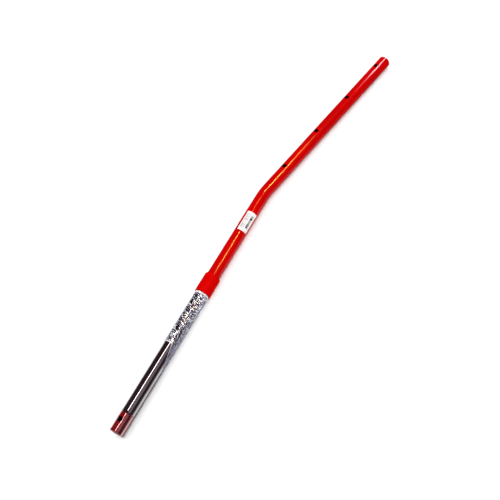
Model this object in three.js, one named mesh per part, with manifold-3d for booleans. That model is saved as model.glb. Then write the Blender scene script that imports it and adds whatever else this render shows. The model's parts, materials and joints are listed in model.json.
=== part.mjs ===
// Two-piece gear shift lever: a chrome lower tube plugs into a collar on a bent, painted upper tube.
// Millimetres, +Z up. The lower tube lies along X, and the upper tube turns towards -Y.
import * as THREE from "three";
import { mergeVertices } from "three/addons/utils/BufferGeometryUtils.js";
import Module from "manifold-3d";

const wasm = await Module();
wasm.setup();

// Tube stock, shared by both tubes and the end ferrule.
const tubeDiameter = 22;
const tubeWall = 2;

// Clearance between two pieces that touch on the real lever, and the play of the plug-in joint.
const seatGap = 0.3;
const plugGap = 0.3;

// Distances along the lever, from the lower end.
const ferruleLength = 30;
const chromeLength = 210;
const collarLength = 33.5;
const collarToBend = 178.3;

// The bend, and the run beyond it to the upper end.
const bendAngle = THREE.MathUtils.degToRad(12.2);
const bendRadius = 120;
const bendToFirstHole = 60;
const holePitch = 92;
const holeCount = 4;
const lastHoleToEnd = 26;

// Cross holes.
const crossHoleDiameter = 8;
const ferruleHoleFromEnd = 19;
const ferruleHoleDiameter = 8;

// The end ferrule's spigot, which is pressed into the lower tube.
const ferruleSpigotLength = 16;
const ferruleSpigotWall = 2;

// The collar, and how deep the upper tube sits in it. The lower tube fills the rest and butts against it.
const collarWall = 2;
const collarChamfer = 0.8;
const upperTubeDepth = 14;
const weldWidth = 2.2;

// The spigot inside both tubes.
const spigotWall = 2.5;
const spigotInLowerTube = 45;
const spigotInUpperTube = 40;

// Shipping film on the chrome, against the collar.
const filmLength = 93;
const filmThickness = 0.4;

// Paper label on the upper tube.
const labelLength = 39;
const labelWidth = 18;
const labelThickness = 0.3;
const labelFromCollar = 91.4;
const labelTurn = THREE.MathUtils.degToRad(-40);

// Facets round a tube, round a hole, and along the bend.
const tubeSides = 40;
const holeSides = 24;
const bendSteps = 8;
const labelSteps = 8;

// Worked out from the sizes above.
const tubeRadius = tubeDiameter / 2;
const boreRadius = tubeRadius - tubeWall;
const collarBore = tubeRadius + plugGap;
const collarRadius = collarBore + collarWall;
const collarStart = ferruleLength + chromeLength;
const collarEnd = collarStart + collarLength;
const bendPoint = collarEnd + collarToBend;
const upperTubeStart = collarEnd - upperTubeDepth;
const lowerTubeEnd = upperTubeStart - seatGap;
const upperRun = bendToFirstHole + (holeCount - 1) * holePitch + lastHoleToEnd;
const bendTangent = bendRadius * Math.tan(bendAngle / 2);
const upperDirection = new THREE.Vector3(Math.cos(bendAngle), -Math.sin(bendAngle), 0);

// Centre line of the upper tube: straight, arc, straight. Each straight is one step, so t counts steps.
class LeverAxis extends THREE.Curve {
  constructor(start) {
    super();
    this.start = start;
    this.steps = bendSteps + 2;
  }

  getUtoTmapping(u) {
    return u;
  }

  getPoint(t, target = new THREE.Vector3()) {
    const step = t * this.steps;
    const arcStart = bendPoint - bendTangent;
    if (step <= 1) {
      return target.set(THREE.MathUtils.lerp(this.start, arcStart, step), 0, 0);
    }
    if (step <= 1 + bendSteps) {
      const angle = ((step - 1) / bendSteps) * bendAngle;
      return target.set(
        arcStart + bendRadius * Math.sin(angle),
        bendRadius * (Math.cos(angle) - 1),
        0,
      );
    }
    const along = THREE.MathUtils.lerp(bendTangent, upperRun, step - 1 - bendSteps);
    return target.copy(upperDirection).multiplyScalar(along).add(new THREE.Vector3(bendPoint, 0, 0));
  }

  getTangent(t, target = new THREE.Vector3()) {
    const turned = THREE.MathUtils.clamp((t * this.steps - 1) / bendSteps, 0, 1);
    const angle = turned * bendAngle;
    return target.set(Math.cos(angle), -Math.sin(angle), 0);
  }
}

// A closed mesh as a solid that can be joined and cut.
function solidOf(geometry) {
  const bare = geometry.clone();
  bare.deleteAttribute("normal");
  bare.deleteAttribute("uv");
  const merged = mergeVertices(bare, 1e-4);
  return new wasm.Manifold(
    new wasm.Mesh({
      numProp: 3,
      vertProperties: new Float32Array(merged.attributes.position.array),
      triVerts: new Uint32Array(merged.index.array),
    }),
  );
}

function geometryOf(solid) {
  const mesh = solid.getMesh();
  const geometry = new THREE.BufferGeometry();
  geometry.setAttribute("position", new THREE.BufferAttribute(mesh.vertProperties, 3));
  geometry.setIndex(new THREE.BufferAttribute(mesh.triVerts, 1));
  return geometry;
}

function piece(name, geometry, colour, roughness, metalness) {
  const material = new THREE.MeshStandardMaterial({ color: colour, roughness, metalness });
  const mesh = new THREE.Mesh(geometry, material);
  mesh.name = name;
  return mesh;
}

// A ring turned about the X axis. The profile is a closed loop of [distance along X, radius] points,
// which runs along the bore first and comes back over the outside.
function turned(profile) {
  const points = profile.map(([along, radius]) => new THREE.Vector2(radius, along)).reverse();
  points.push(points[0].clone());
  const geometry = new THREE.LatheGeometry(points, tubeSides);
  geometry.rotateZ(-Math.PI / 2);
  return geometry;
}

// A straight tube along X.
function sleeve(start, end, outer, inner) {
  return turned([
    [start, inner],
    [end, inner],
    [end, outer],
    [start, outer],
  ]);
}

function discShape(radius) {
  const shape = new THREE.Shape();
  const step = (2 * Math.PI) / tubeSides;
  for (let side = 0; side < tubeSides; side += 1) {
    const corner = [radius * Math.cos(side * step), radius * Math.sin(side * step)];
    if (side === 0) {
      shape.moveTo(...corner);
    } else {
      shape.lineTo(...corner);
    }
  }
  shape.closePath();
  return shape;
}

// A drill along Z, at a point of the centre line, long enough to pass both walls.
function drill(diameter, centre) {
  const cutter = new THREE.CylinderGeometry(diameter / 2, diameter / 2, 2 * tubeDiameter, holeSides);
  cutter.rotateX(Math.PI / 2);
  cutter.translate(centre.x, centre.y, centre.z);
  return solidOf(cutter);
}

function upperHoleCentre(index) {
  const along = bendToFirstHole + index * holePitch;
  return upperDirection.clone().multiplyScalar(along).add(new THREE.Vector3(bendPoint, 0, 0));
}

// Bent tube: outer skin minus bore minus the row of cross holes.
function upperTube() {
  const axis = new LeverAxis(upperTubeStart);
  const skin = new THREE.ExtrudeGeometry(discShape(tubeRadius), { extrudePath: axis, steps: axis.steps });
  const boreShape = discShape(boreRadius);
  const bore = new THREE.ExtrudeGeometry(boreShape, { extrudePath: axis, steps: axis.steps });
  // Two short lengths of bore carry the cut past both ends.
  const mouth = new THREE.ExtrudeGeometry(boreShape, { depth: 2 * tubeWall, bevelEnabled: false });
  mouth.translate(0, 0, -tubeWall);
  const lowerMouth = mouth.clone().rotateY(Math.PI / 2).translate(upperTubeStart, 0, 0);
  const upperEnd = axis.getPoint(1);
  const upperMouth = mouth.clone().rotateY(Math.PI / 2).rotateZ(-bendAngle);
  upperMouth.translate(upperEnd.x, upperEnd.y, upperEnd.z);
  let solid = solidOf(skin).subtract(solidOf(bore));
  solid = solid.subtract(solidOf(lowerMouth)).subtract(solidOf(upperMouth));
  for (let hole = 0; hole < holeCount; hole += 1) {
    solid = solid.subtract(drill(crossHoleDiameter, upperHoleCentre(hole)));
  }
  return piece("upper_tube", geometryOf(solid), 0xc80404, 0.22, 0.1);
}

function socketCollar() {
  const geometry = turned([
    [collarStart, collarBore],
    [collarEnd, collarBore],
    [collarEnd, collarRadius - collarChamfer],
    [collarEnd - collarChamfer, collarRadius],
    [collarStart + collarChamfer, collarRadius],
    [collarStart, collarRadius - collarChamfer],
  ]);
  return piece("socket_collar", geometry, 0xe80808, 0.6, 0);
}

// Fillet of weld in the corner between the collar's upper face and the red tube.
function collarWeld() {
  const start = collarEnd + seatGap;
  const geometry = turned([
    [start, tubeRadius + seatGap],
    [start + weldWidth, tubeRadius + seatGap],
    [start + weldWidth / 2, tubeRadius + seatGap + weldWidth / 2],
    [start, collarRadius - collarChamfer],
  ]);
  return piece("collar_weld", geometry, 0xd00606, 0.45, 0);
}

function lowerTube() {
  const geometry = sleeve(ferruleLength + seatGap, lowerTubeEnd, tubeRadius, boreRadius);
  return piece("lower_tube", geometry, 0xc4c6ca, 0.07, 1);
}

// Flush end piece, stepped down to a spigot inside the chrome tube, with a cross hole near its end.
function endFerrule() {
  const spigotRadius = boreRadius - seatGap;
  const spigotBore = spigotRadius - ferruleSpigotWall;
  const body = turned([
    [0, spigotBore],
    [ferruleLength + ferruleSpigotLength, spigotBore],
    [ferruleLength + ferruleSpigotLength, spigotRadius],
    [ferruleLength, spigotRadius],
    [ferruleLength, tubeRadius],
    [0, tubeRadius],
  ]);
  const centre = new THREE.Vector3(ferruleHoleFromEnd, 0, 0);
  const solid = solidOf(body).subtract(drill(ferruleHoleDiameter, centre));
  return piece("end_ferrule", geometryOf(solid), 0x6a0707, 0.15, 0.5);
}

// Core that is fixed in the upper tube and slides in the lower tube.
function joiningSpigot() {
  const radius = boreRadius - plugGap;
  const geometry = sleeve(
    lowerTubeEnd - spigotInLowerTube,
    upperTubeStart + spigotInUpperTube,
    radius,
    radius - spigotWall,
  );
  return piece("joining_spigot", geometry, 0x8a8c90, 0.4, 1);
}

function protectiveFilm() {
  const inner = tubeRadius + seatGap;
  const end = collarStart - seatGap;
  const geometry = sleeve(end - filmLength, end, inner + filmThickness, inner);
  return piece("protective_film", geometry, 0xd8dce2, 0.3, 0);
}

// Part ring that follows the tube, turned about X from the top of the tube.
function labelPatch() {
  const inner = tubeRadius + seatGap;
  const outer = inner + labelThickness;
  const half = labelWidth / 2 / outer;
  const shape = new THREE.Shape();
  for (let step = 0; step <= labelSteps; step += 1) {
    const angle = THREE.MathUtils.lerp(-half, half, step / labelSteps);
    const corner = [outer * Math.sin(angle), outer * Math.cos(angle)];
    if (step === 0) {
      shape.moveTo(...corner);
    } else {
      shape.lineTo(...corner);
    }
  }
  for (let step = labelSteps; step >= 0; step -= 1) {
    const angle = THREE.MathUtils.lerp(-half, half, step / labelSteps);
    shape.lineTo(inner * Math.sin(angle), inner * Math.cos(angle));
  }
  shape.closePath();
  const geometry = new THREE.ExtrudeGeometry(shape, { depth: labelLength, bevelEnabled: false });
  // The extrusion runs along X, and the outline's upward axis becomes Z.
  geometry.rotateX(Math.PI / 2);
  geometry.rotateZ(Math.PI / 2);
  geometry.rotateX(-labelTurn);
  geometry.translate(collarEnd + labelFromCollar, 0, 0);
  return piece("label_patch", geometry, 0xf4f4f2, 0.6, 0);
}

const lever = new THREE.Group();
lever.add(upperTube(), socketCollar(), collarWeld(), joiningSpigot());
lever.add(lowerTube(), endFerrule(), protectiveFilm(), labelPatch());

// The lever lies with the collar on the floor, and the origin is below the middle of its box.
const box = new THREE.Box3().setFromObject(lever);
lever.position.set(-(box.min.x + box.max.x) / 2, -(box.min.y + box.max.y) / 2, -box.min.z);

const gearShiftLever = new THREE.Group();
gearShiftLever.name = "gear_shift_lever";
gearShiftLever.add(lever);

export default gearShiftLever;
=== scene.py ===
import json
import math
import bpy
from mathutils import Matrix, Vector, noise


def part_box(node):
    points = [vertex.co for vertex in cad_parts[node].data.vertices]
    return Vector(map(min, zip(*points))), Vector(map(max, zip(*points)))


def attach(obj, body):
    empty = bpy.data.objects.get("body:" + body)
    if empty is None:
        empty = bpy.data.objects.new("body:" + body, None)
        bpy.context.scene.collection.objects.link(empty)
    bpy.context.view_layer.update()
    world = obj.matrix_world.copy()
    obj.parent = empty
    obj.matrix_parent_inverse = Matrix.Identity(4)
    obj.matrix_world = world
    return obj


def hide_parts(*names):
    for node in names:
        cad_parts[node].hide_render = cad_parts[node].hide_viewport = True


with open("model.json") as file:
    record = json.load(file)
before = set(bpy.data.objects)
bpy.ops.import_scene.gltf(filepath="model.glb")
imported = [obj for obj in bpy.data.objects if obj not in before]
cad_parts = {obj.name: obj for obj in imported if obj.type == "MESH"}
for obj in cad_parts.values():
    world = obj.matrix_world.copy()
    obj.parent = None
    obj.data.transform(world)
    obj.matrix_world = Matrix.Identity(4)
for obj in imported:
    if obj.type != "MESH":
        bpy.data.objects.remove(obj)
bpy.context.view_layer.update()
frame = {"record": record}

record = frame["record"]
mm = 0.001
tiny = 0.001 * mm

# The lever's own layout, all read from the frame

lowerLow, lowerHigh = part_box("lower_tube")
ferruleLow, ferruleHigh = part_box("end_ferrule")
collarLow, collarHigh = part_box("socket_collar")
weldLow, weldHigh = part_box("collar_weld")
spigotLow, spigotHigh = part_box("joining_spigot")
filmLow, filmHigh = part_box("protective_film")
labelLow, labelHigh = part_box("label_patch")
upperLow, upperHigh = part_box("upper_tube")

axisY = (lowerLow[1] + lowerHigh[1]) / 2
axisZ = (lowerLow[2] + lowerHigh[2]) / 2
tubeRadius = (lowerHigh[2] - lowerLow[2]) / 2
lowerEnd = Vector((ferruleLow[0], axisY, 0))


def boxMiddle(box):
    return (Vector(box[0]) + Vector(box[1])) / 2


def fromAxis(co):
    # the vector from the lever's centre line to a point
    if co.x < bendPoint.x:
        return co - Vector((co.x, axisY, axisZ))
    along = (co - bendPoint).dot(upperDirection)
    return co - bendPoint - upperDirection * along


endFace = next(m for m in record["mounts"] if m["name"] == "upper_end_face")
upperDirection = Vector(endFace["axis"]).normalized()
upperEnd = Vector((endFace["pos_m"][0], endFace["pos_m"][1], axisZ))
bendPoint = upperEnd - upperDirection * ((upperEnd.y - axisY) / upperDirection.y)
bendAngle = math.atan2(-upperDirection.y, upperDirection.x)
holes = {o["name"]: boxMiddle(o["box_m"]) for o in record["physics"]["openings"]}
upperHoles = [holes[name] for name in sorted(holes) if name.startswith("upper_cross_hole")]
ferruleHole = holes["ferrule_cross_hole"]
holeDiameter = 8 * mm

# Small helpers for modelling


def deselectAll():
    if bpy.context.object and bpy.context.object.mode != "OBJECT":
        bpy.ops.object.mode_set(mode="OBJECT")
    bpy.ops.object.select_all(action="DESELECT")


def makeActive(piece):
    deselectAll()
    piece.select_set(True)
    bpy.context.view_layer.objects.active = piece


def pick(piece, kind, test):
    # leaves the piece in edit mode with what passes the test selected: vertices by place, edges by
    # their two ends, faces by middle and normal
    makeActive(piece)
    mesh = piece.data
    for part in (mesh.vertices, mesh.edges, mesh.polygons):
        part.foreach_set("select", [False] * len(part))
    if kind == "VERT":
        for v in mesh.vertices:
            v.select = test(v.co)
    elif kind == "EDGE":
        for e in mesh.edges:
            e.select = test(mesh.vertices[e.vertices[0]].co, mesh.vertices[e.vertices[1]].co)
    else:
        for f in mesh.polygons:
            f.select = test(f.center, f.normal)
    bpy.ops.object.mode_set(mode="EDIT")
    bpy.ops.mesh.select_mode(type=kind)


def applyModifier(piece, kind, **settings):
    makeActive(piece)
    added = piece.modifiers.new(kind.title(), kind)
    for name, value in settings.items():
        setattr(added, name, value)
    bpy.ops.object.modifier_apply(modifier=added.name)


def settle(piece, name, angle=35):
    # names a finished piece and puts its place in its mesh
    makeActive(piece)
    piece.name = name
    piece.data.name = name
    bpy.ops.object.transform_apply(location=True, rotation=True, scale=True)
    bpy.ops.object.shade_smooth_by_angle(angle=math.radians(angle))
    return piece


def startRing(x, radius, sides):
    deselectAll()
    bpy.ops.mesh.primitive_circle_add(
        vertices=sides, radius=radius, location=(x, axisY, axisZ), rotation=(0, math.pi / 2, 0)
    )
    ring = bpy.context.object
    bpy.ops.object.transform_apply(location=True, rotation=True, scale=True)
    bpy.ops.object.mode_set(mode="EDIT")
    bpy.ops.mesh.select_mode(type="EDGE")
    bpy.ops.mesh.select_all(action="SELECT")
    return ring


def turned(profile, sides):
    # a closed ring on the tube's axis: each next point of the profile is one extrude and one resize
    x, radius = profile[0]
    ring = startRing(x, radius, sides)
    for nextX, nextRadius in profile[1:]:
        bpy.ops.mesh.extrude_region_move(TRANSFORM_OT_translate={"value": (nextX - x, 0, 0)})
        k = nextRadius / radius
        bpy.ops.transform.resize(value=(1, k, k), center_override=(nextX, axisY, axisZ))
        x, radius = nextX, nextRadius
    bpy.ops.object.mode_set(mode="OBJECT")
    firstX, firstRadius = profile[0]
    ends = ((firstX, firstRadius), (x, radius))

    def onEnd(co):
        r = math.hypot(co.y - axisY, co.z - axisZ)
        return any(abs(co.x - ex) < tiny and abs(r - er) < tiny for ex, er in ends)

    pick(ring, "EDGE", lambda a, b: onEnd(a) and onEnd(b) and abs(a.x - b.x) < tiny)
    bpy.ops.mesh.bridge_edge_loops()
    faceOut(ring)
    return ring


def faceOut(piece):
    makeActive(piece)
    bpy.ops.object.mode_set(mode="EDIT")
    bpy.ops.mesh.select_all(action="SELECT")
    bpy.ops.mesh.remove_doubles(threshold=tiny / 10)
    bpy.ops.mesh.normals_make_consistent(inside=False)
    bpy.ops.object.mode_set(mode="OBJECT")


def turnOut(piece):
    # an open tube or a sheet can come out inside out, so its first face is tested
    face = piece.data.polygons[0]
    if fromAxis(face.center).dot(face.normal) < 0:
        makeActive(piece)
        bpy.ops.object.mode_set(mode="EDIT")
        bpy.ops.mesh.select_all(action="SELECT")
        bpy.ops.mesh.flip_normals()
        bpy.ops.object.mode_set(mode="OBJECT")


def addRings(piece, longest, cuts):
    # divides every edge that runs along the tube for more than the longest length
    pick(piece, "EDGE", lambda a, b: (a - b).length > longest)
    bpy.ops.mesh.subdivide(number_cuts=cuts)
    bpy.ops.object.mode_set(mode="OBJECT")


def punch(piece, centre, diameter, depth, reach):
    # the punch pulls the wall in around the hole, then cuts it
    top = centre.copy()
    top.z = axisZ + tubeRadius
    pick(piece, "VERT", lambda co: (co - top).length < diameter * 0.3)
    bpy.ops.transform.translate(
        value=(0, 0, -depth),
        use_proportional_edit=True,
        proportional_edit_falloff="SMOOTH",
        proportional_size=reach,
        use_proportional_connected=True,
    )
    bpy.ops.object.mode_set(mode="OBJECT")
    deselectAll()
    bpy.ops.mesh.primitive_cylinder_add(
        vertices=64, radius=diameter / 2, depth=tubeRadius * 4, location=(centre.x, centre.y, axisZ)
    )
    cutter = bpy.context.object
    applyModifier(piece, "BOOLEAN", operation="DIFFERENCE", object=cutter, solver="EXACT")
    bpy.data.objects.remove(cutter, do_unlink=True)


# Materials


def tint(hexColour):
    # sRGB hex to a linear colour
    parts = [int(hexColour[i : i + 2], 16) / 255 for i in (1, 3, 5)]
    return tuple(c / 12.92 if c <= 0.04045 else ((c + 0.055) / 1.055) ** 2.4 for c in parts) + (1.0,)


def grey(value):
    return (value, value, value, 1.0)


def addNode(tree, kind, settings=(), inputs=(), links=(), stops=(), feeds=None):
    # stops are the positions and colours of a colour ramp, and feeds is a socket that the node drives
    node = tree.nodes.new(kind)
    for name, value in dict(settings).items():
        setattr(node, name, value)
    for name, value in dict(inputs).items():
        node.inputs[name].default_value = value
    for name, source in dict(links).items():
        tree.links.new(source, node.inputs[name])
    for index, (position, colour) in enumerate(stops):
        bar = node.color_ramp.elements
        stop = bar[index] if index < 2 else bar.new(position)
        stop.position = position
        stop.color = colour
    if feeds:
        tree.links.new(node.outputs[0], feeds)
    return node


def newFinish(name, inputs):
    finish = bpy.data.materials.new(name)
    finish.use_nodes = True
    tree = finish.node_tree
    surface = tree.nodes["Principled BSDF"]
    for socket, value in inputs.items():
        surface.inputs[socket].default_value = value
    place = addNode(tree, "ShaderNodeTexCoord")
    return finish, tree, surface, place.outputs["Object"]


def sprayedEnamel():
    # gloss enamel over steel: saturated red, a narrow warm lamp line, a faint orange peel
    cloudWidth = 45 * mm
    dustWidth = 1.1 * mm
    peelWidth = 1.3 * mm
    finish, tree, surface, place = newFinish(
        "sprayed_red_enamel", {"IOR": 1.5, "Specular IOR Level": 0.2}
    )
    cloud = addNode(
        tree, "ShaderNodeTexNoise", inputs={"Scale": 1 / cloudWidth, "Detail": 3}, links={"Vector": place}
    )
    addNode(
        tree,
        "ShaderNodeValToRGB",
        links={"Fac": cloud.outputs["Fac"]},
        stops=[(0.35, tint("#AE0000")), (0.65, tint("#BA0000"))],
        feeds=surface.inputs["Base Color"],
    )
    dust = addNode(
        tree, "ShaderNodeTexNoise", inputs={"Scale": 1 / dustWidth, "Detail": 2}, links={"Vector": place}
    )
    addNode(
        tree,
        "ShaderNodeValToRGB",
        links={"Fac": dust.outputs["Fac"]},
        stops=[(0.3, grey(0.05)), (0.8, grey(0.1))],
        feeds=surface.inputs["Roughness"],
    )
    peel = addNode(
        tree, "ShaderNodeTexNoise", inputs={"Scale": 1 / peelWidth, "Detail": 1}, links={"Vector": place}
    )
    addNode(
        tree,
        "ShaderNodeBump",
        inputs={"Strength": 0.1, "Distance": 0.012 * mm},
        links={"Height": peel.outputs["Fac"]},
        feeds=surface.inputs["Normal"],
    )
    return finish


def powderCoat():
    # satin powder coat: the same red with no sharp line, and a fine grit drawn coarse enough to show
    cloudWidth = 11 * mm
    gritWidth = 0.5 * mm
    finish, tree, surface, place = newFinish(
        "satin_red_powder_coat", {"IOR": 1.5, "Specular IOR Level": 0.01}
    )
    cloud = addNode(
        tree, "ShaderNodeTexNoise", inputs={"Scale": 1 / cloudWidth, "Detail": 4}, links={"Vector": place}
    )
    addNode(
        tree,
        "ShaderNodeValToRGB",
        links={"Fac": cloud.outputs["Fac"]},
        stops=[(0.35, tint("#B60000")), (0.65, tint("#C20000"))],
        feeds=surface.inputs["Base Color"],
    )
    addNode(
        tree,
        "ShaderNodeValToRGB",
        links={"Fac": cloud.outputs["Fac"]},
        stops=[(0.3, grey(0.5)), (0.7, grey(0.62))],
        feeds=surface.inputs["Roughness"],
    )
    grit = addNode(
        tree, "ShaderNodeTexNoise", inputs={"Scale": 1 / gritWidth, "Detail": 3}, links={"Vector": place}
    )
    addNode(
        tree,
        "ShaderNodeBump",
        inputs={"Strength": 0.35, "Distance": 0.04 * mm},
        links={"Height": grit.outputs["Fac"]},
        feeds=surface.inputs["Normal"],
    )
    return finish


def paintUndersideShade(tree, height, colour, dark):
    # painted shade: the mirror colour goes dark where the tube turns under, in place of the shaded floor it
    # would mirror there
    under = addNode(
        tree,
        "ShaderNodeMapRange",
        inputs={
            "From Min": axisZ - 1.5 * mm,
            "From Max": axisZ + 1 * mm,
            "To Min": 0.95,
            "To Max": 0.0,
        },
        links={"Value": height},
    )
    shadedColour = addNode(
        tree,
        "ShaderNodeMix",
        {"data_type": "RGBA"},
        {"B": tint(dark)},
        {"Factor": under.outputs["Result"], "A": colour},
    )
    return shadedColour.outputs["Result"]


def chromePlate():
    # bright chromium plate: near mirror, cool grey, with drawn-tube lines and fine haze, and painted
    # shade darkening its underside
    lineLength = 170 * mm
    lineWidth = 1.1 * mm
    hazeWidth = 28 * mm
    finish, tree, surface, place = newFinish("bright_chrome_plate", {"Metallic": 1.0})
    stretch = addNode(
        tree,
        "ShaderNodeMapping",
        inputs={"Scale": (1 / lineLength, 1 / lineWidth, 1 / lineWidth)},
        links={"Vector": place},
    )
    lines = addNode(
        tree,
        "ShaderNodeTexNoise",
        inputs={"Scale": 1.0, "Detail": 4},
        links={"Vector": stretch.outputs["Vector"]},
    )
    haze = addNode(
        tree, "ShaderNodeTexNoise", inputs={"Scale": 1 / hazeWidth, "Detail": 4}, links={"Vector": place}
    )
    colour = addNode(
        tree,
        "ShaderNodeValToRGB",
        links={"Fac": haze.outputs["Fac"]},
        stops=[(0.3, tint("#C9C4C6")), (0.7, tint("#DAD7DC"))],
    )
    parts = addNode(tree, "ShaderNodeSeparateXYZ", links={"Vector": place})
    # painted shade: the plate's colour goes dark on the underside
    shadedColour = paintUndersideShade(tree, parts.outputs["Z"], colour.outputs["Color"], "#2A2230")
    tree.links.new(shadedColour, surface.inputs["Base Color"])
    addNode(
        tree,
        "ShaderNodeValToRGB",
        links={"Fac": haze.outputs["Fac"]},
        stops=[(0.35, grey(0.04)), (0.75, grey(0.11))],
        feeds=surface.inputs["Roughness"],
    )
    addNode(
        tree,
        "ShaderNodeBump",
        inputs={"Strength": 0.12, "Distance": 0.01 * mm},
        links={"Height": lines.outputs["Fac"]},
        feeds=surface.inputs["Normal"],
    )
    return finish


def candyLacquer():
    # candy lacquer over chrome: sprayed from above, so a deep red on top and a pale pink mirror below
    cloudWidth = 8 * mm
    finish, tree, surface, place = newFinish(
        "red_candy_lacquer_on_chrome", {"Metallic": 1.0, "Roughness": 0.06}
    )
    cloud = addNode(
        tree, "ShaderNodeTexNoise", inputs={"Scale": 1 / cloudWidth, "Detail": 3}, links={"Vector": place}
    )
    colour = addNode(
        tree,
        "ShaderNodeValToRGB",
        links={"Fac": cloud.outputs["Fac"]},
        stops=[(0.3, tint("#DCA8AC")), (0.7, tint("#E4B4B8"))],
    )
    dye = addNode(
        tree,
        "ShaderNodeBsdfPrincipled",
        inputs={"IOR": 1.5, "Specular IOR Level": 0.3, "Roughness": 0.15},
    )
    addNode(
        tree,
        "ShaderNodeValToRGB",
        links={"Fac": cloud.outputs["Fac"]},
        stops=[(0.3, tint("#B00004")), (0.7, tint("#C20408"))],
        feeds=dye.inputs["Base Color"],
    )
    parts = addNode(tree, "ShaderNodeSeparateXYZ", links={"Vector": place})
    # painted shade darkens the pale mirror on the underside
    shadedColour = paintUndersideShade(tree, parts.outputs["Z"], colour.outputs["Color"], "#241018")
    tree.links.new(shadedColour, surface.inputs["Base Color"])
    thick = addNode(
        tree,
        "ShaderNodeMapRange",
        inputs={
            "From Min": axisZ + 6 * mm,
            "From Max": axisZ + 10.5 * mm,
            "To Min": 0.03,
            "To Max": 0.25,
        },
        links={"Value": parts.outputs["Z"]},
    )
    addNode(
        tree,
        "ShaderNodeMixShader",
        links={0: thick.outputs["Result"], 1: surface.outputs["BSDF"], 2: dye.outputs["BSDF"]},
        feeds=tree.nodes["Material Output"].inputs["Surface"],
    )
    addNode(
        tree,
        "ShaderNodeBump",
        inputs={"Strength": 0.2, "Distance": 0.03 * mm},
        links={"Height": cloud.outputs["Fac"]},
        feeds=surface.inputs["Normal"],
    )
    return finish


def bareSteel(name="drawn_steel", dark="#4A4846", light="#7C7976", roughness=0.45):
    # drawn steel with an oily, uneven skin
    grainLength = 50 * mm
    grainWidth = 2.5 * mm
    finish, tree, surface, place = newFinish(name, {"Metallic": 0.9})
    stretch = addNode(
        tree,
        "ShaderNodeMapping",
        inputs={"Scale": (1 / grainLength, 1 / grainWidth, 1 / grainWidth)},
        links={"Vector": place},
    )
    grain = addNode(
        tree,
        "ShaderNodeTexNoise",
        inputs={"Scale": 1.0, "Detail": 5},
        links={"Vector": stretch.outputs["Vector"]},
    )
    source = grain.outputs["Fac"]
    addNode(
        tree,
        "ShaderNodeValToRGB",
        links={"Fac": source},
        stops=[(0.3, tint(dark)), (0.7, tint(light))],
        feeds=surface.inputs["Base Color"],
    )
    addNode(
        tree,
        "ShaderNodeValToRGB",
        links={"Fac": source},
        stops=[(0.3, grey(roughness)), (0.7, grey(roughness * 1.4))],
        feeds=surface.inputs["Roughness"],
    )
    addNode(
        tree,
        "ShaderNodeBump",
        inputs={"Strength": 0.3, "Distance": 0.03 * mm},
        links={"Height": source},
        feeds=surface.inputs["Normal"],
    )
    return finish


def clearFilm():
    # thin polyethylene film over chrome: white creases, clear places that scramble the mirror,
    # and a milky loose end
    cloudWidth = 6 * mm
    finish, tree, surface, place = newFinish(
        "crumpled_polyethylene_film", {"Metallic": 1.0, "Roughness": 0.12}
    )
    marks = addNode(tree, "ShaderNodeAttribute", {"attribute_name": "filmMarks"})
    parts = addNode(tree, "ShaderNodeSeparateColor", links={"Color": marks.outputs["Color"]})
    crease, loose = parts.outputs["Red"], parts.outputs["Green"]
    cloud = addNode(
        tree, "ShaderNodeTexNoise", inputs={"Scale": 1 / cloudWidth, "Detail": 3}, links={"Vector": place}
    )
    addNode(
        tree,
        "ShaderNodeValToRGB",
        links={"Fac": cloud.outputs["Fac"]},
        stops=[(0.36, tint("#9C8C88")), (0.46, tint("#9492C4")), (0.6, tint("#CFCFEC"))],
        feeds=surface.inputs["Base Color"],
    )
    milk = addNode(tree, "ShaderNodeBsdfPrincipled", inputs={"Roughness": 0.35, "IOR": 1.5})
    addNode(
        tree,
        "ShaderNodeValToRGB",
        links={"Fac": crease},
        stops=[(0.0, tint("#767482")), (0.9, tint("#F0F0F6"))],
        feeds=milk.inputs["Base Color"],
    )
    white = addNode(
        tree,
        "ShaderNodeMath",
        {"operation": "MULTIPLY_ADD", "use_clamp": True},
        {1: 0.55},
        {0: loose, 2: crease},
    )
    body = addNode(
        tree,
        "ShaderNodeMixShader",
        links={0: white.outputs[0], 1: surface.outputs["BSDF"], 2: milk.outputs["BSDF"]},
    )
    clear = addNode(tree, "ShaderNodeBsdfTransparent")
    gaps = addNode(
        tree, "ShaderNodeMapRange", inputs={"To Min": 0.5, "To Max": 0.0}, links={"Value": crease}
    )
    addNode(
        tree,
        "ShaderNodeMixShader",
        links={0: gaps.outputs["Result"], 1: body.outputs["Shader"], 2: clear.outputs["BSDF"]},
        feeds=tree.nodes["Material Output"].inputs["Surface"],
    )
    return finish


finishes = {
    "enamel": sprayedEnamel(),
    "powder": powderCoat(),
    "chrome": chromePlate(),
    "candy": candyLacquer(),
    "steel": bareSteel(),
    # the bore and the hole walls: near-black painted shade over bare steel
    "inside": bareSteel("painted_shade_tube_bore", "#0E0C0C", "#1C1918", 0.7),
    "film": clearFilm(),
}
print("materials ready")


def dress(piece, *names):
    piece.data.materials.clear()
    for name in names:
        piece.data.materials.append(finishes[name])


def dressInside(piece, radius):
    # the second finish, bare steel darkened to near black as painted shade, goes on the faces of the bore
    # and on the walls of the cross holes
    for face in piece.data.polygons:
        out = fromAxis(face.center)
        inBore = out.length < radius and out.dot(face.normal) < 0
        toHole = min(
            math.hypot(face.center.x - hole.x, face.center.y - hole.y) for hole in (*upperHoles, ferruleHole)
        )
        inHole = toHole < holeDiameter * 0.51 and abs(face.normal.z) < 0.3
        if inBore or inHole:
            face.material_index = 1


# Upper tube

upper = {
    "sides": 96,
    "wall": 2 * mm,
    "bendRadius": 120 * mm,
    "bendSteps": 16,
    "stretch": 20 * mm,  # longer runs are cut in stretches, and those in rings
    "stretches": 71,
    "ringGap": 4 * mm,
    "rings": 3,
    "dimpleDepth": 0.12 * mm,
    "dimpleReach": 5.5 * mm,
}


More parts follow.
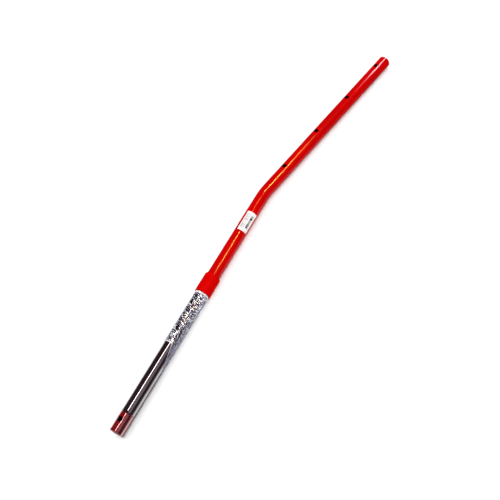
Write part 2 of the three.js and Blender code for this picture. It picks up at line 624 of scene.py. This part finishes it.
def makeUpperTube():
    tangent = upper["bendRadius"] * math.tan(bendAngle / 2)
    bendStart = bendPoint.x - tangent
    startX = upperLow[0]
    tube = startRing(startX, tubeRadius, upper["sides"])
    bpy.ops.mesh.extrude_region_move(TRANSFORM_OT_translate={"value": (bendStart - startX, 0, 0)})
    bpy.ops.mesh.spin(
        steps=upper["bendSteps"],
        angle=bendAngle,
        center=(bendStart, axisY - upper["bendRadius"], axisZ),
        axis=(0, 0, 1),
    )
    run = (upperEnd - bendPoint).length - tangent
    bpy.ops.mesh.extrude_region_move(TRANSFORM_OT_translate={"value": tuple(upperDirection * run)})
    bpy.ops.object.mode_set(mode="OBJECT")
    addRings(tube, upper["stretch"], upper["stretches"] - 1)
    addRings(tube, upper["ringGap"], upper["rings"] - 1)
    faceOut(tube)
    turnOut(tube)
    applyModifier(tube, "SOLIDIFY", thickness=upper["wall"], offset=-1)
    for centre in upperHoles:
        punch(tube, centre, holeDiameter, upper["dimpleDepth"], upper["dimpleReach"])
    settle(tube, "upper_tube_painted")
    dress(tube, "enamel", "inside")
    dressInside(tube, tubeRadius - upper["wall"] / 2)
    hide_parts("upper_tube")
    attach(tube, "upper_lever")
    print("upper tube", len(tube.data.polygons), "faces")


makeUpperTube()

# Collar

collar = {
    "sides": 96,
    "bore": 11.3 * mm,  # radius
    "edge": 0.4 * mm,
    "topEdge": 0.5 * mm,
}


def makeCollar():
    outer = (collarHigh[2] - collarLow[2]) / 2
    x0, x1 = collarLow[0], collarHigh[0]
    edge, topEdge = collar["edge"], collar["topEdge"]
    profile = [
        (x0, collar["bore"]),
        (x0, outer - edge),
        (x0 + edge * 0.3, outer - edge * 0.3),
        (x0 + edge, outer),
        (x0 + edge * 3, outer),
        (x1 - topEdge * 2, outer),
        (x1 - topEdge, outer),
        (x1 - topEdge * 0.3, outer - topEdge * 0.3),
        (x1, outer - topEdge),
        (x1, collar["bore"]),
    ]
    piece = turned(profile, collar["sides"])
    settle(piece, "socket_collar_coated", 50)
    dress(piece, "powder")
    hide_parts("socket_collar")
    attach(piece, "upper_lever")
    print("collar", len(piece.data.polygons), "faces")


makeCollar()

# Weld bead between the collar and the upper tube

weld = {
    "beads": 34,
    "sidesPerBead": 6,
    "height": 0.9 * mm,
    "curve": 7,  # steps of the rounded corner
    "overlap": 0.2 * mm,
    "lift": 0.05 * mm,
    "ripple": 0.1 * mm,
    "rippleReach": 0.9 * mm,
}


def makeWeld():
    x0, x1 = weldLow[0] - weld["overlap"], weldHigh[0]
    inner = tubeRadius + weld["lift"]
    width, height = x1 - x0, weld["height"]
    profile = [(x0, inner), (x0, inner + height)]
    for step in range(1, weld["curve"]):
        angle = step / weld["curve"] * math.pi / 2
        profile.append((x0 + width * math.sin(angle), inner + height * math.cos(angle)))
    profile.append((x1, inner))
    piece = turned(profile, weld["beads"] * weld["sidesPerBead"])
    beadAngle = 2 * math.pi / weld["beads"]

    def crest(co):
        angle = math.atan2(co.y - axisY, co.z - axisZ) % beadAngle
        outside = math.hypot(co.y - axisY, co.z - axisZ) > inner + height * 0.2
        return outside and angle < beadAngle / weld["sidesPerBead"] * 1.5

    pick(piece, "VERT", crest)
    grow = 1 + weld["ripple"] / tubeRadius
    bpy.ops.transform.resize(
        value=(1, grow, grow),
        center_override=(x0, axisY, axisZ),
        use_proportional_edit=True,
        proportional_edit_falloff="SMOOTH",
        proportional_size=weld["rippleReach"],
    )
    bpy.ops.object.mode_set(mode="OBJECT")
    settle(piece, "collar_weld_bead", 60)
    dress(piece, "powder")
    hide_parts("collar_weld")
    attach(piece, "upper_lever")
    print("weld", len(piece.data.polygons), "faces")


makeWeld()

# Lower tube

lower = {"sides": 128, "bore": 9 * mm, "edge": 0.35 * mm, "longRun": 50 * mm, "rings": 61}


def makeLowerTube():
    x0, x1 = lowerLow[0], lowerHigh[0]
    edge = lower["edge"]
    profile = [
        (x0, lower["bore"]),
        (x0, tubeRadius - edge),
        (x0 + edge * 0.3, tubeRadius - edge * 0.3),
        (x0 + edge, tubeRadius),
        (x1 - edge, tubeRadius),
        (x1 - edge * 0.3, tubeRadius - edge * 0.3),
        (x1, tubeRadius - edge),
        (x1, lower["bore"]),
    ]
    piece = turned(profile, lower["sides"])
    addRings(piece, lower["longRun"], lower["rings"] - 1)
    settle(piece, "lower_tube_plated", 50)
    dress(piece, "chrome", "inside")
    dressInside(piece, (tubeRadius + lower["bore"]) / 2)
    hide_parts("lower_tube")
    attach(piece, "lower_lever")
    print("lower tube", len(piece.data.polygons), "faces")


makeLowerTube()

# End ferrule

ferrule = {
    "sides": 128,
    "length": 30 * mm,
    "spigot": 8.7 * mm,
    "bore": 6.7 * mm,
    "edge": 0.9 * mm,
    "longRun": 10 * mm,
    "rings": 41,
    "dimpleDepth": 0.15 * mm,
    "dimpleReach": 6 * mm,
}


def makeFerrule():
    x0, x1, x2 = ferruleLow[0], ferruleLow[0] + ferrule["length"], ferruleHigh[0]
    edge = ferrule["edge"]
    profile = [
        (x0, ferrule["bore"]),
        (x0, tubeRadius - edge),
        (x0 + edge * 0.3, tubeRadius - edge * 0.3),
        (x0 + edge, tubeRadius),
        (x1 - edge * 0.5, tubeRadius),
        (x1, tubeRadius - edge * 0.5),
        (x1, ferrule["spigot"]),
        (x2, ferrule["spigot"]),
        (x2, ferrule["bore"]),
    ]
    piece = turned(profile, ferrule["sides"])
    addRings(piece, ferrule["longRun"], ferrule["rings"] - 1)
    punch(piece, ferruleHole, holeDiameter, ferrule["dimpleDepth"], ferrule["dimpleReach"])
    settle(piece, "end_ferrule_lacquered", 40)
    dress(piece, "candy", "inside")
    dressInside(piece, ferrule["bore"] + 1 * mm)
    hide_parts("end_ferrule")
    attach(piece, "lower_lever")
    print("ferrule", len(piece.data.polygons), "faces")


makeFerrule()

# Joining spigot, seen only when the lever is pulled apart

spigot = {"sides": 96, "wall": 2.5 * mm, "edge": 0.8 * mm}


def makeSpigot():
    radius = (spigotHigh[2] - spigotLow[2]) / 2
    x0, x1 = spigotLow[0], spigotHigh[0]
    edge, bore = spigot["edge"], radius - spigot["wall"]
    profile = [
        (x0, bore),
        (x0, radius - edge),
        (x0 + edge, radius),
        (x1 - edge, radius),
        (x1, radius - edge),
        (x1, bore),
    ]
    piece = turned(profile, spigot["sides"])
    settle(piece, "joining_spigot_turned", 50)
    dress(piece, "steel", "inside")
    dressInside(piece, bore + 1 * mm)
    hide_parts("joining_spigot")
    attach(piece, "upper_lever")
    print("spigot", len(piece.data.polygons), "faces")


makeSpigot()

# Shipping film

film = {
    "sides": 220,
    "rings": 100,
    "gap": 0.12 * mm,
    "crumple": 0.8 * mm,
    "foldWidth": 2.3 * mm,
    "foldReach": 4.6 * mm,
    "sharpness": 2.4,  # how fast a fold falls away from its ridge
    "creaseStart": 0.58,  # share of a fold's height where it turns white
    "creaseSoft": 0.14,
    "lip": 0.035,  # white lower rim, a share of the length
    "cuffStart": 0.955,
    "cuffSoft": 0.02,
    "cuffWhite": 0.75,
    "tongue": 46 * mm,
    "tongueMiddle": 112,  # degrees round from the top towards -Y
    "tongueSpread": 75,
    "wander": 2 * mm,  # how far the lower rim strays
    "thickness": 0.06 * mm,
}


def clamp(value):
    return min(1.0, max(0.0, value))


def filmFold(co, radius):
    # ridge height from 0 to 1, with long folds round the tube and short ones across them
    turn = math.atan2(-(co.y - axisY), co.z - axisZ)
    skew = 0.9 * math.sin(turn) + 0.5 * math.sin(2 * turn)
    around = Vector((0, co.y - axisY, co.z - axisZ)).normalized() * radius / film["foldReach"]
    fold = Vector((co.x / film["foldWidth"] + skew, around.y, around.z))
    long = 1 - film["sharpness"] * abs(noise.noise(fold))
    short = 1 - film["sharpness"] * abs(noise.noise(fold * 1.9 + Vector((7, 1, 4))))
    return clamp(0.6 * long + 0.4 * short)


def makeFilm():
    # a sleeve of film, crumpled all over, with its lower rim pulled out in one tongue that lies flat
    x0, x1 = filmLow[0], filmHigh[0]
    radius = tubeRadius + film["gap"]
    sheet = startRing(x0, radius, film["sides"])
    bpy.ops.mesh.extrude_region_move(TRANSFORM_OT_translate={"value": (x1 - x0, 0, 0)})
    bpy.ops.object.mode_set(mode="OBJECT")
    addRings(sheet, (x1 - x0) / 3, film["rings"] - 1)
    addRings(sheet, 0.8 * mm, 1)
    faceOut(sheet)
    turnOut(sheet)
    marks = sheet.data.color_attributes.new("filmMarks", "FLOAT_COLOR", "POINT")
    for v, mark in zip(sheet.data.vertices, marks.data):
        along = (v.co.x - x0) / (x1 - x0)
        turn = math.atan2(-(v.co.y - axisY), v.co.z - axisZ)
        away = abs((math.degrees(turn) - film["tongueMiddle"] + 180) % 360 - 180) / film["tongueSpread"]
        loose = math.cos(min(away, 1) * math.pi / 2)
        calm = 1 - 0.95 * min(1, loose * 1.6) * (1 - along) ** 2
        fold = filmFold(v.co, radius)
        crease = clamp((fold - film["creaseStart"]) / film["creaseSoft"]) * calm
        lip = max(0.0, 1 - along / film["lip"]) * (1 - loose)
        cuff = clamp((along - film["cuffStart"]) / film["cuffSoft"]) * film["cuffWhite"]
        mark.color = (max(crease, lip, cuff), loose, 0, 1)
        out = Vector((0, v.co.y - axisY, v.co.z - axisZ)).normalized()
        edge = film["wander"] * noise.noise(Vector((turn * 1.5, 3.1, 0)))
        v.co += out * film["crumple"] * calm * fold
        v.co.x -= (film["tongue"] * loose + edge) * (1 - along) ** 5
    applyModifier(sheet, "SOLIDIFY", thickness=film["thickness"], offset=1)
    settle(sheet, "protective_film_crumpled", 180)
    dress(sheet, "film")
    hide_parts("protective_film")
    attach(sheet, "lower_lever")
    print("film", len(sheet.data.polygons), "faces")


makeFilm()

# Label

label = {
    "width": 18 * mm,
    "thickness": 0.12 * mm,
    "turn": 40,  # degrees round from the top towards -Y
    "lift": 0.06 * mm,
    "boldRow": (0.56, 0.79),  # rows are shares of the width, spans of the length
    "boldSpan": (0.19, 0.82),
    "boldBreaks": 30,
    "thinRows": ((0.12, 0.19), (0.25, 0.31), (0.37, 0.43)),
    "thinSpan": (0.12, 0.88),
    "thinBreaks": 34,
}


def printedPaper():
    # coated paper, matt white, with printed rules and one broken bar, no lettering
    finish, tree, surface, place = newFinish("coated_label_paper", {"IOR": 1.45, "Roughness": 0.45})
    uv = addNode(tree, "ShaderNodeTexCoord").outputs["UV"]
    parts = addNode(tree, "ShaderNodeSeparateXYZ", links={"Vector": uv})
    across, along = parts.outputs["Y"], parts.outputs["X"]

    def strip(source, limits):
        # 1 between the two limits, 0 outside them
        low, high = limits
        above = addNode(tree, "ShaderNodeMath", {"operation": "GREATER_THAN"}, {1: low}, {0: source})
        below = addNode(tree, "ShaderNodeMath", {"operation": "LESS_THAN"}, {1: high}, {0: source})
        return meet(above.outputs[0], below.outputs[0])

    def meet(*shares):
        # only where all the shares are printed
        printed = shares[0]
        for share in shares[1:]:
            both = addNode(tree, "ShaderNodeMath", {"operation": "MULTIPLY"}, links={0: printed, 1: share})
            printed = both.outputs[0]
        return printed

    def breaks(count, limits):
        # gaps at uneven steps along the label
        cut = addNode(
            tree,
            "ShaderNodeTexNoise",
            {"noise_dimensions": "1D"},
            {"Scale": count, "Detail": 0},
            {"W": along},
        )
        return strip(cut.outputs["Fac"], limits)

    bold = meet(
        strip(across, label["boldRow"]),
        strip(along, label["boldSpan"]),
        breaks(label["boldBreaks"], (0.44, 1.0)),
    )
    rows = strip(across, label["thinRows"][0])
    for limits in label["thinRows"][1:]:
        more = addNode(
            tree, "ShaderNodeMath", {"operation": "ADD"}, links={0: rows, 1: strip(across, limits)}
        )
        rows = more.outputs[0]
    thin = meet(rows, strip(along, label["thinSpan"]), breaks(label["thinBreaks"], (0.42, 0.9)))
    ruled = addNode(
        tree,
        "ShaderNodeMix",
        {"data_type": "RGBA"},
        {"A": tint("#DCDDDC"), "B": tint("#786A80")},
        {"Factor": thin},
    )
    barred = addNode(
        tree,
        "ShaderNodeMix",
        {"data_type": "RGBA"},
        {"B": tint("#141830")},
        {"Factor": bold, "A": ruled.outputs["Result"]},
    )
    tree.links.new(barred.outputs["Result"], surface.inputs["Base Color"])
    return finish


def makeLabel():
    radius = tubeRadius + label["lift"]
    length = labelHigh[0] - labelLow[0]
    middle = (labelLow[0] + labelHigh[0]) / 2
    deselectAll()
    bpy.ops.mesh.primitive_grid_add(
        x_subdivisions=60, y_subdivisions=36, size=1, location=(0, 0, 0), calc_uvs=True
    )
    piece = bpy.context.object
    bpy.ops.transform.resize(value=(length, label["width"], 1))
    bpy.ops.object.transform_apply(location=True, rotation=True, scale=True)
    # wrapped round the tube
    for v in piece.data.vertices:
        angle = math.radians(label["turn"]) + v.co.y / radius
        v.co = (v.co.x + middle, axisY - radius * math.sin(angle), axisZ + radius * math.cos(angle))
    turnOut(piece)
    applyModifier(piece, "SOLIDIFY", thickness=label["thickness"], offset=1)
    settle(piece, "label_paper_wrapped", 50)
    piece.data.materials.clear()
    piece.data.materials.append(printedPaper())
    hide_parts("label_patch")
    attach(piece, "upper_lever")
    print("label", len(piece.data.polygons), "faces")


makeLabel()

# Stage: floor, lamps, camera

paper = {
    "size": 30.0,
    "fibre": 3.3 * mm,
    "poolReach": 100 * mm,  # the mirrored patch of floor, measured towards -Y from the lever
    "poolEdge": 20 * mm,
    "poolShade": (0.02, 0.62),
    "glow": (0.14, 1.0),  # near and far
    "glowReach": (0.8, 2.5),
}


def makeFloor():
    # white paper, with a smaller and greyer pool of light where the lever's gloss mirrors it
    deselectAll()
    bpy.ops.mesh.primitive_plane_add(size=paper["size"], location=(0, 0, 0))
    floor = bpy.context.object
    floor.name = "studio_floor"
    finish, tree, surface, place = newFinish("white_paper_floor", {"Roughness": 0.9})
    fibre = addNode(
        tree,
        "ShaderNodeTexNoise",
        inputs={"Scale": 1 / paper["fibre"], "Detail": 3},
        links={"Vector": place},
    )
    colour = addNode(
        tree,
        "ShaderNodeValToRGB",
        links={"Fac": fibre.outputs["Fac"]},
        stops=[(0.3, grey(0.86)), (0.7, grey(0.9))],
    )
    parts = addNode(tree, "ShaderNodeSeparateXYZ", links={"Vector": place})
    dark, light = paper["poolShade"]
    pool = addNode(
        tree,
        "ShaderNodeMapRange",
        {"interpolation_type": "SMOOTHSTEP"},
        {
            "From Min": axisY - paper["poolReach"],
            "From Max": axisY - paper["poolEdge"],
            "To Min": dark,
            "To Max": light,
        },
        {"Value": parts.outputs["Y"]},
    )
    rays = addNode(tree, "ShaderNodeLightPath")
    shown = addNode(
        tree,
        "ShaderNodeMix",
        {"data_type": "RGBA"},
        links={
            "Factor": rays.outputs["Is Glossy Ray"],
            "A": colour.outputs["Color"],
            "B": pool.outputs["Result"],
        },
    )
    tree.links.new(shown.outputs["Result"], surface.inputs["Base Color"])
    # the paper glows a little, and more towards the horizon, so that it stays white all round
    surface.inputs["Emission Color"].default_value = grey(1.0)
    away = addNode(tree, "ShaderNodeVectorMath", {"operation": "LENGTH"}, links={0: place})
    near, far = paper["glowReach"]
    glow = addNode(
        tree,
        "ShaderNodeMapRange",
        inputs={"From Min": near, "From Max": far, "To Min": paper["glow"][0], "To Max": paper["glow"][1]},
        links={"Value": away.outputs["Value"]},
    )
    addNode(
        tree,
        "ShaderNodeMath",
        {"operation": "MULTIPLY"},
        links={0: glow.outputs["Result"], 1: rays.outputs["Is Camera Ray"]},
        feeds=surface.inputs["Emission Strength"],
    )
    floor.data.materials.append(finish)


# Places and sizes are in metres, from the lower end, and power is in watts. A seen lamp only makes
# its own reflection, and the others light the scene and stay out of reflections.

leverMiddle = (0.41, -0.04, 0)
lamps = {
    "lamp_over_chrome": {
        "place": (0.49, -0.17, 2.0),
        "size": (0.78, 0.2),
        "power": 3,
        "colour": (1.0, 0.88, 0.78),
        "turn": -19,
    },
    "lamp_over_bend": {
        "place": (1.28, -0.815, 2.0),
        "size": (0.42, 0.13),
        "power": 35,
        "colour": (1.0, 0.62, 0.1),
        "turn": 40,
    },
    "lamp_tail": {
        "place": (1.52, -0.614, 2.0),
        "size": (0.21, 0.13),
        "power": 3.5,
        "colour": (1.0, 0.62, 0.1),
        "turn": 40,
    },
    "lamp_over_end": {
        "place": (2.74, -1.04, 2.0),
        "size": (1.4, 0.3),
        "power": 132,
        "colour": (1.0, 0.86, 0.92),
        "turn": -19,
    },
    "ceiling_glow": {
        "place": (0.8, -1.6, 2.4),
        "size": (3.0, 2.2),
        "power": 3.4,
        "colour": (0.95, 0.86, 0.97),
        "aim": leverMiddle,
    },
    "soft_fill": {
        "place": (0.41, 0.3, 3.2),
        "size": (6, 6),
        "power": 172,
        "aim": leverMiddle,
        "seen": False,
    },
    "side_key": {
        "place": (0, 1.2, 2.4),
        "size": (0.8, 0.8),
        "power": 15,
        "aim": leverMiddle,
        "seen": False,
    },
    "front_fill": {
        "place": (0.5, -1.6, 1.8),
        "size": (2, 2),
        "power": 42,
        "aim": leverMiddle,
        "seen": False,
    },
}
surroundings = (0.032, 0.017, 0.021, 1)  # what the gloss mirrors where there is no lamp


def makeLamp(name, lamp):
    light = bpy.data.lights.new(name, "AREA")
    light.shape = "RECTANGLE"
    light.size, light.size_y = lamp["size"]
    light.energy = lamp["power"]
    light.color = lamp.get("colour", (1, 1, 1))
    holder = bpy.data.objects.new(name, light)
    bpy.context.scene.collection.objects.link(holder)
    holder.location = lowerEnd + Vector(lamp["place"])
    if "aim" in lamp:
        towards = Vector(lamp["aim"]) - Vector(lamp["place"])
        holder.rotation_euler = towards.to_track_quat("-Z", "Y").to_euler()
    else:
        holder.rotation_euler = (0, 0, math.radians(lamp["turn"]))
    seen = lamp.get("seen", True)
    holder.visible_glossy = seen
    holder.visible_diffuse = not seen


def makeLights():
    for name, lamp in lamps.items():
        makeLamp(name, lamp)
    world = bpy.data.worlds.new("studio")
    bpy.context.scene.world = world
    world.use_nodes = True
    tree = world.node_tree
    rays = addNode(tree, "ShaderNodeLightPath")
    shade = addNode(
        tree,
        "ShaderNodeMix",
        {"data_type": "RGBA"},
        {"A": surroundings, "B": (1, 1, 1, 1)},
        {"Factor": rays.outputs["Is Camera Ray"]},
    )
    tree.links.new(shade.outputs["Result"], tree.nodes["Background"].inputs["Color"])


view = {
    "place": (-56.1 * mm, -526.8 * mm, 738.3 * mm),  # from the lower end
    "aim": (338.8 * mm, -34.6 * mm, 13.3 * mm),
    "roll": -27.9,  # degrees
    "lens": 43.2,
}


def makeCamera():
    place = lowerEnd + Vector(view["place"])
    look = Vector(view["aim"]) - Vector(view["place"])
    bpy.ops.object.camera_add(location=place)
    camera = bpy.context.object
    roll = Matrix.Rotation(math.radians(view["roll"]), 4, "Z")
    turn = look.to_track_quat("-Z", "Y").to_matrix().to_4x4()
    camera.matrix_world = Matrix.Translation(place) @ turn @ roll
    camera.data.lens = view["lens"]
    camera.data.sensor_width = 36
    camera.data.clip_start = 0.01
    bpy.context.scene.camera = camera


makeFloor()
makeLights()
makeCamera()
bpy.context.scene.view_settings.view_transform = "Standard"
print("stage ready")
